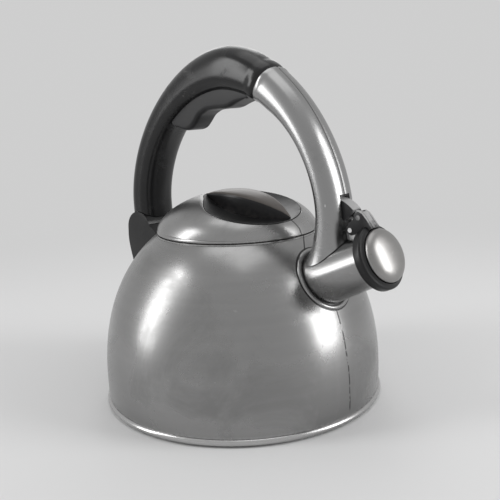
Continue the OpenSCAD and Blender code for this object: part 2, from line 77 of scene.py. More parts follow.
def turned(profile, sides=192, place=None, closed=True):  # a profile of (radius, height) turned about Z
    place = place or Matrix.Identity(4)
    rings = []
    for r, z in profile:
        rings.append([tuple(place @ Vector((r * cos(2 * pi * k / sides), r * sin(2 * pi * k / sides), z)))
                      for k in range(sides)])
    if closed:
        return joinRings(rings, looped=True)
    return joinRings(rings, capped=False)


def arcPoints(cx, cz, r, a0, a1, n):
    return [(cx + r * cos(radians(a0 + (a1 - a0) * i / n)), cz + r * sin(radians(a0 + (a1 - a0) * i / n)))
            for i in range(n + 1)]


def cutWith(piece, cutters):  # boolean difference, applied
    for cutter in cutters:
        mod = piece.modifiers.new("cut", "BOOLEAN")
        mod.operation, mod.solver, mod.object = "DIFFERENCE", "EXACT", cutter
    applyModifiers(piece)
    for cutter in cutters:
        bpy.data.objects.remove(cutter)


def applyModifiers(piece):
    bpy.context.view_layer.update()
    graph = bpy.context.evaluated_depsgraph_get()
    mesh = bpy.data.meshes.new_from_object(piece.evaluated_get(graph))
    old = piece.data
    piece.modifiers.clear()
    piece.data = mesh
    mesh.name = old.name


def makeCutter(verts, faces):
    mesh = bpy.data.meshes.new("cutter")
    mesh.from_pydata([[c * mm for c in v] for v in verts], [], faces)
    bm = bmesh.new()
    bm.from_mesh(mesh)
    bmesh.ops.recalc_face_normals(bm, faces=bm.faces)
    bm.to_mesh(mesh)
    bm.free()
    cutter = bpy.data.objects.new("cutter", mesh)
    bpy.context.scene.collection.objects.link(cutter)
    return cutter


def solidTurned(profile, sides=128, place=None):  # profile starts and ends on the axis
    place = place or Matrix.Identity(4)
    inner = [p for p in profile if p[0] > 1e-6]
    rings = [[tuple(place @ Vector((r * cos(2 * pi * k / sides), r * sin(2 * pi * k / sides), z)))
              for k in range(sides)] for r, z in inner]
    return joinRings(rings)


def smoothEdges(piece, width, segments=3, angle=30):
    mod = piece.modifiers.new("rounded", "BEVEL")
    mod.width, mod.segments, mod.limit_method, mod.angle_limit = width * mm, segments, "ANGLE", radians(angle)
    applyModifiers(piece)
    piece.data.shade_smooth()
    piece.data.set_sharp_from_angle(angle=radians(50))


kettle = {"bodyR": 103.6, "widestZ": 20.0, "neckZ": 124.0, "neckR": 60.0, "round": 2.2, "sheet": 1.0,
          "beadR": 2.4, "floorZ": 4.0}
beadZ = kettle["floorZ"] + kettle["sheet"] + 0.6 - kettle["beadR"]
beadRing = kettle["bodyR"] - kettle["sheet"] / 2 - 0.6
wallZ = beadZ + kettle["beadR"]


def rounded(u, p):
    return max(0.0, 1 - u ** p) ** (1 / p)


def bodyAt(z, inset=0.0):
    share = rounded(kettle["neckR"] / kettle["bodyR"], kettle["round"])
    rise = (kettle["neckZ"] - kettle["widestZ"]) / share - inset
    return (kettle["bodyR"] - inset) * rounded(abs(z - kettle["widestZ"]) / rise, kettle["round"])


def bodyLine(inset, z0, z1, n):
    return [(bodyAt(z, inset), z) for z in (z0 + (z1 - z0) * sin(pi / 2 * i / n) for i in range(n + 1))]


lid = {"r": 59.6, "rise": 28.0, "full": 0.58, "z": 125.3, "domeZ": 126.3, "recess": (15.0, -4.0),
       "recessR": 39.0, "depth": 13.0, "fall": 2.6, "turn": 8.0, "barLen": 76.0, "barW": 23.0,
       "barRise": 1.6, "pullAt": -134.0, "pull": 8.0, "pullWide": 34.0}


def lidHeight(r):
    return lid["domeZ"] + lid["rise"] * max(0.0, 1 - (r / lid["r"]) ** 2) ** lid["full"]


def domeAt(x, y):
    return lidHeight(hypot(x, y))


def recessR(turn):  # the recess's outline is pulled in on one side
    away = (degrees(turn) - lid["pullAt"] + 180) % 360 - 180
    return lid["recessR"] - lid["pull"] * e ** (-(away / lid["pullWide"]) ** 2)


def floorAt(x, y):
    dx, dy = x - lid["recess"][0], y - lid["recess"][1]
    share = min(1.0, hypot(dx, dy) / recessR(atan2(dy, dx)))
    return domeAt(x, y) - lid["depth"] * (1 - share ** lid["fall"])


# cornerShadeR: the radius of the painted shade ring in the corner outside the spout lip
spout = {"x": 81.0, "z": 98.5, "rise": 24.0, "r": 16.6, "rootR": 19.0, "len": 47.0, "lipR": 21.3,
         "lip": 1.55, "cornerShadeR": 23.1}
spoutLean = radians(90 - spout["rise"])
spoutPlace = Matrix.Translation((spout["x"], 0, spout["z"])) @ Matrix.Rotation(spoutLean, 4, "Y")
cap = {"s": 45.4, "r": 21.6, "depth": 7.6, "domeR": 17.8, "domeH": 6.4, "pocketR": 16.8, "boreR": 17.0}


def spoutR(s):
    return spout["r"] + (spout["rootR"] - spout["r"]) * (1 - s / spout["len"])


capPlace = spoutPlace @ Matrix.Translation((0, 0, cap["s"]))

arch = {"front": 91.0, "rear": 99.0, "z": 140.0, "apex": 241.5, "round": 1.8, "footDrop": 37.0,
        "footLean": 6.0, "rearX": 98.0, "rearZ": 118.0, "joint": 63.0, "foot": -30.0, "end": 210.0}
halfIn = [(-30, 12.5), (-18, 11.3), (0, 10.5), (30, 10.8), (50, 12), (63, 13.2), (78, 15.4), (90, 16),
          (102, 15.4), (130, 12.8), (150, 12), (210, 12)]
halfOut = [(-30, 16.5), (-18, 15.2), (0, 14.6), (45, 14.8), (63, 15.4), (90, 16.5), (130, 16.6), (210, 16.4)]


def power(v, p):
    return copysign(abs(v) ** p, v)


def lookup(v, table):
    if v <= table[0][0]:
        return table[0][1]
    for (a, fa), (b, fb) in zip(table, table[1:]):
        if v <= b:
            return fa + (fb - fa) * (v - a) / (b - a)
    return table[-1][1]


def eased(v, table, reach=6.0):  # the same table with its corners rounded off
    return sum(lookup(v + reach * (i - 4) / 4, table) for i in range(9)) / 9


def lineAt(t):
    if t < 0:
        f = t / arch["foot"]
        return (arch["front"] - arch["footLean"] * f * f, arch["z"] - arch["footDrop"] * f)
    if t > 180:
        f = (t - 180) / 30
        return (-arch["rear"] + (arch["rear"] - arch["rearX"]) * f * f,
                arch["z"] - (arch["z"] - arch["rearZ"]) * f)
    c, s = cos(radians(t)), sin(radians(t))
    return ((arch["front"] if t < 90 else arch["rear"]) * power(c, 2 / arch["round"]),
            arch["z"] + (arch["apex"] - arch["z"]) * power(s, 2 / arch["round"]))


def along(t):
    a, b = lineAt(t - 2.5), lineAt(t + 2.5)
    d = hypot(b[0] - a[0], b[1] - a[1])
    return ((b[0] - a[0]) / d, (b[1] - a[1]) / d)


def archPoint(t, u, v):  # u outwards from the arch, v across it
    c, d = lineAt(t), along(t)
    return (c[0] + u * d[1], v, c[1] - u * d[0])


def addNode(tree, kind, sets=None, **inputs):
    node = tree.nodes.new(kind)
    for key, value in (sets or {}).items():
        setattr(node, key, value)
    for key, value in inputs.items():
        key = key.replace("_", " ")
        socket = node.inputs[int(key[1:])] if key[0] == "i" and key[1:].isdigit() else node.inputs[key]
        if hasattr(value, "is_linked"):
            tree.links.new(value, socket)
        else:
            socket.default_value = value
    return node


def mathNode(tree, operation, a, b=0.0, clamp=False):
    return addNode(tree, "ShaderNodeMath", {"operation": operation, "use_clamp": clamp}, i0=a,
                   i1=b).outputs[0]


def mixColour(tree, factor, a, b, kind="MIX"):
    node = addNode(tree, "ShaderNodeMix", {"data_type": "RGBA", "blend_type": kind}, i0=factor, i6=a, i7=b)
    return node.outputs[2]


def remap(tree, value, low, high, toLow=0.0, toHigh=1.0):
    return addNode(tree, "ShaderNodeMapRange", {"interpolation_type": "SMOOTHSTEP"}, Value=value,
                   From_Min=low, From_Max=high, To_Min=toLow, To_Max=toHigh).outputs[0]


def newGroup(name, inputs, outputs):
    group = bpy.data.node_groups.new(name, "ShaderNodeTree")
    for label, kind, value in inputs:
        socket = group.interface.new_socket(label, in_out="INPUT", socket_type=kind)
        if value is not None:
            socket.default_value = value
    for label, kind in outputs:
        group.interface.new_socket(label, in_out="OUTPUT", socket_type=kind)
    return group, group.nodes.new("NodeGroupInput"), group.nodes.new("NodeGroupOutput")


def useGroup(tree, group, **inputs):
    node = tree.nodes.new("ShaderNodeGroup")
    node.node_tree = group
    for key, value in inputs.items():
        socket = node.inputs[key.replace("_", " ")]
        if hasattr(value, "is_linked"):
            tree.links.new(value, socket)
        else:
            socket.default_value = value
    return node


def turnedGrainGroup():  # polishing lines that run round an upright axis
    group, gin, gout = newGroup("turnedGrain", [("Place", "NodeSocketVector", None),
                                                ("Fineness", "NodeSocketFloat", 900.0)],
                                [("Height", "NodeSocketFloat"), ("Tone", "NodeSocketFloat")])
    split = addNode(group, "ShaderNodeSeparateXYZ", Vector=gin.outputs["Place"])
    x, y, z = split.outputs
    angle = mathNode(group, "ARCTAN2", y, x)
    radius = mathNode(group, "SQRT", mathNode(group, "ADD", mathNode(group, "MULTIPLY", x, x),
                                              mathNode(group, "MULTIPLY", y, y)))
    rise = mathNode(group, "ADD", z, mathNode(group, "MULTIPLY", radius, -0.8))
    wrapped = addNode(group, "ShaderNodeCombineXYZ",
                      X=mathNode(group, "MULTIPLY", mathNode(group, "SINE", angle), 0.006),
                      Y=mathNode(group, "MULTIPLY", mathNode(group, "COSINE", angle), 0.006), Z=rise)
    fine = addNode(group, "ShaderNodeTexNoise", Vector=wrapped.outputs[0], Scale=gin.outputs["Fineness"],
                   Detail=3.0, Roughness=0.7)
    broad = addNode(group, "ShaderNodeTexNoise", Vector=wrapped.outputs[0], Scale=160.0, Detail=2.0)
    group.links.new(fine.outputs[0], gout.inputs["Height"])
    group.links.new(broad.outputs[0], gout.inputs["Tone"])
    return group


def smudgeGroup():  # soft patches of handling and heat
    group, gin, gout = newGroup("smudges", [("Place", "NodeSocketVector", None),
                                            ("Scale", "NodeSocketFloat", 20.0),
                                            ("Cover", "NodeSocketFloat", 0.5)], [("Mask", "NodeSocketFloat")])
    large = addNode(group, "ShaderNodeTexNoise", Vector=gin.outputs["Place"], Scale=gin.outputs["Scale"],
                    Detail=6.0, Roughness=0.62, Distortion=0.6)
    low = mathNode(group, "SUBTRACT", 0.72, mathNode(group, "MULTIPLY", gin.outputs["Cover"], 0.4))
    high = mathNode(group, "ADD", low, 0.22)
    group.links.new(remap(group, large.outputs[0], low, high), gout.inputs["Mask"])
    return group


def scratchGroup():  # short hairline scratches in two directions
    group, gin, gout = newGroup("scratches", [("Place", "NodeSocketVector", None),
                                              ("Scale", "NodeSocketFloat", 60.0),
                                              ("Cover", "NodeSocketFloat", 0.3)],
                                [("Mask", "NodeSocketFloat")])
    masks = []
    for turn, stretch in (((0.5, 0.3, 0.4), 14.0), ((-0.6, 0.9, -1.1), 18.0)):
        mapped = addNode(group, "ShaderNodeMapping", Vector=gin.outputs["Place"], Rotation=turn,
                         Scale=(1.0, stretch, stretch))
        lines = addNode(group, "ShaderNodeTexNoise", Vector=mapped.outputs[0], Scale=gin.outputs["Scale"],
                        Detail=1.0)
        where = addNode(group, "ShaderNodeTexNoise", Vector=gin.outputs["Place"], Scale=34.0 + stretch,
                        Detail=2.0)
        thin = remap(group, lines.outputs[0], 0.665, 0.70)
        cover = mathNode(group, "MULTIPLY", gin.outputs["Cover"], 0.4)
        here = remap(group, where.outputs[0], mathNode(group, "SUBTRACT", 0.75, cover), 0.75)
        masks.append(mathNode(group, "MULTIPLY", thin, here))
    group.links.new(mathNode(group, "MAXIMUM", masks[0], masks[1]), gout.inputs["Mask"])
    return group


def edgeWearGroup():  # lighter where a corner stands out
    group, gin, gout = newGroup("edgeWear", [("Place", "NodeSocketVector", None),
                                             ("Amount", "NodeSocketFloat", 0.5)],
                                [("Mask", "NodeSocketFloat")])
    geometry = addNode(group, "ShaderNodeNewGeometry")
    corner = remap(group, geometry.outputs["Pointiness"], 0.52, 0.60)
    broken = addNode(group, "ShaderNodeTexNoise", Vector=gin.outputs["Place"], Scale=350.0, Detail=4.0)
    mask = mathNode(group, "MULTIPLY", corner, remap(group, broken.outputs[0], 0.35, 0.6))
    group.links.new(mathNode(group, "MULTIPLY", mask, gin.outputs["Amount"]), gout.inputs["Mask"])
    return group


def speckGroup():  # dust and pitting
    group, gin, gout = newGroup("specks", [("Place", "NodeSocketVector", None),
                                           ("Scale", "NodeSocketFloat", 400.0),
                                           ("Size", "NodeSocketFloat", 0.1)], [("Mask", "NodeSocketFloat")])
    cells = addNode(group, "ShaderNodeTexVoronoi", Vector=gin.outputs["Place"], Scale=gin.outputs["Scale"],
                    Randomness=1.0)
    dots = remap(group, cells.outputs["Distance"], 0.0, gin.outputs["Size"], 1.0, 0.0)
    some = addNode(group, "ShaderNodeTexNoise", Vector=gin.outputs["Place"], Scale=45.0, Detail=3.0)
    group.links.new(mathNode(group, "MULTIPLY", dots, remap(group, some.outputs[0], 0.48, 0.62)),
                    gout.inputs["Mask"])
    return group


turnedGrain = turnedGrainGroup()
smudges = smudgeGroup()
scratches = scratchGroup()
edgeWear = edgeWearGroup()
specks = speckGroup()
print("surface effects made")


def startFinish(name):
    finish = bpy.data.materials.new(name)
    finish.use_nodes = True
    tree = finish.node_tree
    tree.nodes.clear()
    out = tree.nodes.new("ShaderNodeOutputMaterial")
    shader = tree.nodes.new("ShaderNodeBsdfPrincipled")
    tree.links.new(shader.outputs[0], out.inputs[0])
    place = tree.nodes.new("ShaderNodeTexCoord").outputs["Object"]
    return finish, tree, shader, place


def bumpFrom(tree, height, strength, distance, normal=None):
    bump = addNode(tree, "ShaderNodeBump", Strength=strength, Distance=distance * mm, Height=height)
    if normal:
        tree.links.new(normal, bump.inputs["Normal"])
    return bump.outputs[0]


def grey(v, warm=0.0):
    return (v * (1 + warm), v, v * (1 - warm), 1.0)


def spunSteel(name, tone=0.5, rough=0.27, grain=0.05, linesAndShade=(), warm=0.004):  # polished on a lathe, then used
    finish, tree, shader, place = startFinish(name)
    spin = useGroup(tree, turnedGrain, Place=place, Fineness=1400.0)
    patch = useGroup(tree, smudges, Place=place, Scale=15.0, Cover=0.7)
    film = useGroup(tree, smudges, Place=place, Scale=55.0, Cover=0.35)
    lines = useGroup(tree, scratches, Place=place, Scale=45.0, Cover=0.35)
    pits = useGroup(tree, specks, Place=place, Scale=210.0, Size=0.13)
    wear = useGroup(tree, edgeWear, Place=place, Amount=0.35)
    colour = mixColour(tree, remap(tree, spin.outputs["Tone"], 0.3, 0.7), grey(tone * 0.975, warm),
                       grey(tone * 1.02, warm))
    colour = mixColour(tree, mathNode(tree, "MULTIPLY", patch.outputs[0], 0.55), colour,
                       grey(tone * 0.62, warm))
    colour = mixColour(tree, mathNode(tree, "MULTIPLY", lines.outputs[0], 0.45), colour,
                       grey(min(1, tone * 1.5), warm))
    colour = mixColour(tree, mathNode(tree, "MULTIPLY", pits.outputs[0], 0.5), colour,
                       grey(tone * 0.35, warm))
    colour = mixColour(tree, wear.outputs[0], colour, grey(min(1, tone * 1.6), warm))
    normal = bumpFrom(tree, spin.outputs["Height"], grain, 0.05)
    # each mask darkens towards near-black: seam lines and hairlines that the steel has, and painted shade
    # round the spout root
    for seam in linesAndShade:
        mask = seam(tree, place)
        colour = mixColour(tree, mathNode(tree, "MULTIPLY", mask, 0.85), colour, grey(0.03))
    tree.links.new(colour, shader.inputs["Base Color"])
    shader.inputs["Metallic"].default_value = 1.0
    roughness = mathNode(tree, "ADD", rough, mathNode(tree, "MULTIPLY", patch.outputs[0], 0.10))
    roughness = mathNode(tree, "ADD", roughness, mathNode(tree, "MULTIPLY", film.outputs[0], 0.07))
    tree.links.new(roughness, shader.inputs["Roughness"])
    tree.links.new(normal, shader.inputs["Normal"])
    return finish


def satinMetal(name, tone=0.55, rough=0.33, cast=0.10, seam=None):  # a cast piece, blasted and lacquered
    finish, tree, shader, place = startFinish(name)
    skin = addNode(tree, "ShaderNodeTexNoise", Vector=place, Scale=900.0, Detail=3.0)
    patch = useGroup(tree, smudges, Place=place, Scale=38.0, Cover=0.5)
    lines = useGroup(tree, scratches, Place=place, Scale=70.0, Cover=0.5)
    dust = useGroup(tree, specks, Place=place, Scale=420.0, Size=0.14)
    wear = useGroup(tree, edgeWear, Place=place, Amount=0.5)
    colour = mixColour(tree, mathNode(tree, "MULTIPLY", patch.outputs[0], 0.45), grey(tone), grey(tone * 0.6))
    colour = mixColour(tree, mathNode(tree, "MULTIPLY", lines.outputs[0], 0.5), colour,
                       grey(min(1, tone * 1.5)))
    colour = mixColour(tree, mathNode(tree, "MULTIPLY", dust.outputs[0], 0.55), colour, grey(tone * 0.25))
    colour = mixColour(tree, wear.outputs[0], colour, grey(min(1, tone * 1.5)))
    if seam:
        colour = mixColour(tree, mathNode(tree, "MULTIPLY", seam(tree, place), 0.9), colour, grey(0.02))
    tree.links.new(colour, shader.inputs["Base Color"])
    shader.inputs["Metallic"].default_value = 1.0
    tree.links.new(mathNode(tree, "ADD", rough, mathNode(tree, "MULTIPLY", patch.outputs[0], 0.12)),
                   shader.inputs["Roughness"])
    tree.links.new(bumpFrom(tree, skin.outputs[0], cast, 0.06), shader.inputs["Normal"])
    return finish


def mouldedPlastic(name, colour=(0.02, 0.02, 0.021, 1), rough=0.3, peel=0.08, dusty=0.15, worn=0.25,
                   coat=0.0, grainScale=500.0, shine=0.35):
    finish, tree, shader, place = startFinish(name)
    skin = addNode(tree, "ShaderNodeTexNoise", Vector=place, Scale=grainScale, Detail=3.0, Roughness=0.6)
    film = useGroup(tree, smudges, Place=place, Scale=48.0, Cover=0.5)
    lines = useGroup(tree, scratches, Place=place, Scale=80.0, Cover=0.45)
    dust = useGroup(tree, specks, Place=place, Scale=600.0, Size=0.12)
    wear = useGroup(tree, edgeWear, Place=place, Amount=worn)
    light = tuple(min(1, c * 2.0 + 0.012) for c in colour[:3]) + (1,)
    pale = (0.26, 0.255, 0.25, 1)
    shade = mixColour(tree, mathNode(tree, "MULTIPLY", film.outputs[0], 0.25), colour, light)
    shade = mixColour(tree, mathNode(tree, "MULTIPLY", dust.outputs[0], dusty), shade, pale)
    shade = mixColour(tree, mathNode(tree, "MULTIPLY", lines.outputs[0], 0.25), shade, pale)
    shade = mixColour(tree, wear.outputs[0], shade, light)
    tree.links.new(shade, shader.inputs["Base Color"])
    tree.links.new(mathNode(tree, "ADD", rough, mathNode(tree, "MULTIPLY", film.outputs[0], 0.18)),
                   shader.inputs["Roughness"])
    tree.links.new(bumpFrom(tree, skin.outputs[0], peel, 0.08), shader.inputs["Normal"])
    shader.inputs["Specular IOR Level"].default_value = shine
    shader.inputs["Coat Weight"].default_value = coat
    shader.inputs["Coat Roughness"].default_value = 0.15
    return finish


# painted light: one colour on upright walls and another on what faces up, a painted highlight on the top
# faces and painted shade on the sides
def litTopShadedSides(name, side, top, rough=0.36, worn=0.6):
    finish, tree, shader, place = startFinish(name)
    facing = addNode(tree, "ShaderNodeSeparateXYZ",
                     Vector=tree.nodes.new("ShaderNodeTexCoord").outputs["Normal"]).outputs[2]
    ragged = addNode(tree, "ShaderNodeTexNoise", Vector=place, Scale=260.0, Detail=4.0)
    uneven = mathNode(tree, "SUBTRACT", ragged.outputs[0], 0.5)
    edge = mathNode(tree, "ADD", facing, mathNode(tree, "MULTIPLY", uneven, 0.25))
    # facing mask: 1 on upward faces, where the painted highlight goes, 0 on upright walls, which get the
    # painted shade
    litTopMask = remap(tree, edge, 0.45, 0.66)
    film = useGroup(tree, smudges, Place=place, Scale=60.0, Cover=0.5)
    lines = useGroup(tree, scratches, Place=place, Scale=90.0, Cover=0.5)
    wear = useGroup(tree, edgeWear, Place=place, Amount=worn)
    face = mixColour(tree, mathNode(tree, "MULTIPLY", film.outputs[0], 0.5), top,
                     tuple(c * 0.6 for c in top[:3]) + (1,))
    face = mixColour(tree, mathNode(tree, "MULTIPLY", lines.outputs[0], 0.5), face,
                     tuple(min(1, c * 1.6) for c in top[:3]) + (1,))
    colour = mixColour(tree, litTopMask, side, face)
    colour = mixColour(tree, wear.outputs[0], colour, tuple(min(1, c * 1.3) for c in top[:3]) + (1,))
    tree.links.new(colour, shader.inputs["Base Color"])
    tree.links.new(mathNode(tree, "ADD", rough, mathNode(tree, "MULTIPLY", film.outputs[0], 0.15)),
                   shader.inputs["Roughness"])
    grain = addNode(tree, "ShaderNodeTexNoise", Vector=place, Scale=900.0, Detail=3.0)
    tree.links.new(bumpFrom(tree, grain.outputs[0], 0.15, 0.08), shader.inputs["Normal"])
    shader.inputs["Specular IOR Level"].default_value = 0.28
    return finish


marks = {"lidX": 0.0554, "lidSlope": 0.75, "shoulderX": 0.0645, "shoulderSlope": -1.1, "recessEnd": 0.0515,
         "seamAngle": radians(-1.5), "seamHalf": 0.0006, "seamTop": 0.092, "seamBottom": 0.008, "fade": 0.004}


def lidMark(tree, place):  # a hairline from the recess's end to the rim
    split = addNode(tree, "ShaderNodeSeparateXYZ", Vector=place)
    x, y, z = split.outputs
    bend = mathNode(tree, "MULTIPLY", mathNode(tree, "SUBTRACT", x, marks["lidX"]), marks["lidSlope"])
    away = mathNode(tree, "ABSOLUTE", mathNode(tree, "SUBTRACT", y, bend))
    line = remap(tree, away, 0.00035, 0.0008, 1.0, 0.0)
    return mathNode(tree, "MULTIPLY", line, remap(tree, x, marks["recessEnd"], marks["recessEnd"] + mm))


def shoulderMark(tree, place):  # the same line going on over the shoulder to the spout
    split = addNode(tree, "ShaderNodeSeparateXYZ", Vector=place)
    x, y, z = split.outputs
    bend = mathNode(tree, "MULTIPLY", mathNode(tree, "SUBTRACT", x, marks["shoulderX"]),
                    marks["shoulderSlope"])
    line = remap(tree, mathNode(tree, "ABSOLUTE", mathNode(tree, "SUBTRACT", y, bend)), 0.0004, 0.0009, 1.0,
                 0.0)
    line = mathNode(tree, "MULTIPLY", line, remap(tree, z, 0.112, 0.114))
    return mathNode(tree, "MULTIPLY", line, remap(tree, x, 0.05, 0.052))


def spoutRootShade(tree, place):  # painted shade in the corners on both sides of the lip round the spout, where shade falls
    rise = radians(spout["rise"])
    split = addNode(tree, "ShaderNodeSeparateXYZ", Vector=place)
    x, y, z = split.outputs
    x = mathNode(tree, "SUBTRACT", x, spout["x"] * mm)
    z = mathNode(tree, "SUBTRACT", z, spout["z"] * mm)
    off = mathNode(tree, "SUBTRACT", mathNode(tree, "MULTIPLY", z, cos(rise)),
                   mathNode(tree, "MULTIPLY", x, sin(rise)))
    away = mathNode(tree, "SQRT", mathNode(tree, "ADD", mathNode(tree, "MULTIPLY", off, off),
                                           mathNode(tree, "MULTIPLY", y, y)))
    # outer: a painted shade ring in the corner just outside the lip; inner: painted shade on the wall between
    # the tube and the lip
    outer = remap(tree, mathNode(tree, "ABSOLUTE", mathNode(tree, "SUBTRACT", away, spout["cornerShadeR"] * mm)),
                  0.0004, 0.0009, 1.0, 0.0)
    inner = remap(tree, away, (spout["rootR"] + 1) * mm, (spout["rootR"] + 1.8) * mm, 1.0, 0.0)
    return mathNode(tree, "MULTIPLY", mathNode(tree, "MAXIMUM", outer, inner), remap(tree, x, -0.02, -0.015))


def bodySeam(tree, place):  # a dotted dark line down the wall, a little to one side of the spout
    split = addNode(tree, "ShaderNodeSeparateXYZ", Vector=place)
    x, y, z = split.outputs
    waver = addNode(tree, "ShaderNodeTexNoise", Vector=place, Scale=40.0, Detail=2.0)
    turn = mathNode(tree, "SUBTRACT", mathNode(tree, "ARCTAN2", y, x), marks["seamAngle"])
    away = mathNode(tree, "ABSOLUTE", mathNode(tree, "ADD", mathNode(tree, "MULTIPLY", turn, 0.1),
                                                mathNode(tree, "MULTIPLY",
                                                         mathNode(tree, "SUBTRACT", waver.outputs[0], 0.5),
                                                         0.006)))
    line = remap(tree, away, marks["seamHalf"] * 0.4, marks["seamHalf"] * 1.4, 1.0, 0.0)
    broken = addNode(tree, "ShaderNodeTexNoise", Vector=place, Scale=260.0, Detail=2.0)
    line = mathNode(tree, "MULTIPLY", line, remap(tree, broken.outputs[0], 0.36, 0.46))
    line = mathNode(tree, "MULTIPLY", line, remap(tree, z, marks["seamTop"],
                                                  marks["seamTop"] + marks["fade"], 1.0, 0.0))
    return mathNode(tree, "MULTIPLY", line, remap(tree, z, marks["seamBottom"],
                                                  marks["seamBottom"] + marks["fade"]))


def partingLine(tree, place):  # the joint between the two halves of the casting
    split = addNode(tree, "ShaderNodeSeparateXYZ", Vector=place)
    away = mathNode(tree, "ABSOLUTE", split.outputs[1])
    return remap(tree, away, 0.0002, 0.0005, 1.0, 0.0)


finishes = {
    # the body's marks: a seam line and a hairline that the steel has, and painted shade in the corners round
    # the spout root
    "body": spunSteel("spunBodySteel", tone=0.31, rough=0.25, grain=0.05,
                      linesAndShade=(bodySeam, spoutRootShade, shoulderMark)),
    "lid": spunSteel("spunLidSteel", tone=0.34, rough=0.27, grain=0.05, linesAndShade=(lidMark,)),
    "rim": spunSteel("rolledRimSteel", tone=0.50, rough=0.20, grain=0.03),
    "spout": spunSteel("spoutSteel", tone=0.30, rough=0.24, grain=0.02),
    "dome": spunSteel("capDomeSteel", tone=0.31, rough=0.31, grain=0.03, warm=0.02),
    "inner": spunSteel("innerSteel", tone=0.50, rough=0.33, grain=0.03),
    "arm": satinMetal("satinArmMetal", tone=0.33, rough=0.27, seam=partingLine),
    # link and lever: near-black sides as painted shade and a light grey top as a painted highlight
    "link": litTopShadedSides("linkLitTopShade", (0.012, 0.012, 0.013, 1), (0.34, 0.34, 0.34, 1), rough=0.38),
    "lug": satinMetal("lugSteel", tone=0.45, rough=0.34, cast=0.2),
    "core": satinMetal("coreSteel", tone=0.4, rough=0.35),
    "heat": satinMetal("heatDiscAluminium", tone=0.6, rough=0.4),
    "pins": satinMetal("pinSteel", tone=0.6, rough=0.18, cast=0.02),
    "grip": mouldedPlastic("gripPlastic", (0.006, 0.006, 0.0065, 1), rough=0.22, peel=0.05, dusty=0.12,
                           coat=0.0, shine=0.42),
    "pad": mouldedPlastic("padRubber", (0.014, 0.014, 0.015, 1), rough=0.42, peel=0.2, dusty=0.15,
                          grainScale=1200.0),
    "dish": mouldedPlastic("recessPlastic", (0.008, 0.008, 0.0085, 1), rough=0.32, peel=0.15, dusty=0.2),
    # lid grip bar: black sides as painted shade and a brownish grey top as a painted highlight
    "bar": litTopShadedSides("lidGripPlastic", (0.010, 0.010, 0.011, 1), (0.095, 0.085, 0.078, 1), rough=0.30,
                      worn=0.12),
    "ring": mouldedPlastic("capRingPlastic", (0.007, 0.007, 0.0075, 1), rough=0.34, peel=0.12, dusty=0.18),
    "bracket": mouldedPlastic("bracketPlastic", (0.007, 0.007, 0.0075, 1), rough=0.28, peel=0.08, dusty=0.12),
    "seal": mouldedPlastic("sealRubber", (0.55, 0.55, 0.53, 1), rough=0.55, peel=0.1, dusty=0.1),
}
print("finishes made:", len(finishes))


def makeBody():
    profile = bodyLine(0, wallZ, kettle["neckZ"], 90)
    profile[-1] = (kettle["neckR"] + 0.25, kettle["neckZ"] - 0.12)
    profile.append((kettle["neckR"], kettle["neckZ"]))
    profile += bodyLine(kettle["sheet"], wallZ, kettle["neckZ"], 60)[::-1]
    body = makePiece("body_wall", *turned(profile, 256), "kettle", ["body_shell"], "body_steel",
                     material=finishes["body"])
    hole = makeCutter(*solidTurned([(spoutR(-12) - 0.4, -12), (spoutR(30) - 0.4, 30)], 96, spoutPlace))
    cutWith(body, [hole])
    body.data.shade_smooth()
    body.data.set_sharp_from_angle(angle=radians(40))


def makeRim():
    bead = arcPoints(beadRing, beadZ, kettle["beadR"], 90, -215, 40)
    profile = bead + [(beadRing - 3.2, kettle["floorZ"]), (0.5, kettle["floorZ"]),
                      (0.5, kettle["floorZ"] + 1), (beadRing - 1.6, kettle["floorZ"] + 1)]
    makePiece("base_rim", *turned(profile, 256), "kettle", ["base_pan"], "base_steel",
              material=finishes["rim"])
    plate = [(0.5, 0.0), (93.2, 0.0), (94.0, 0.8), (94.0, 4.0), (91.0, 4.0), (91.0, 1.0), (0.5, 1.0)]
    makePiece("under_plate", *turned(plate, 192), "kettle", ["base_plate"], "base_steel",
              material=finishes["rim"])


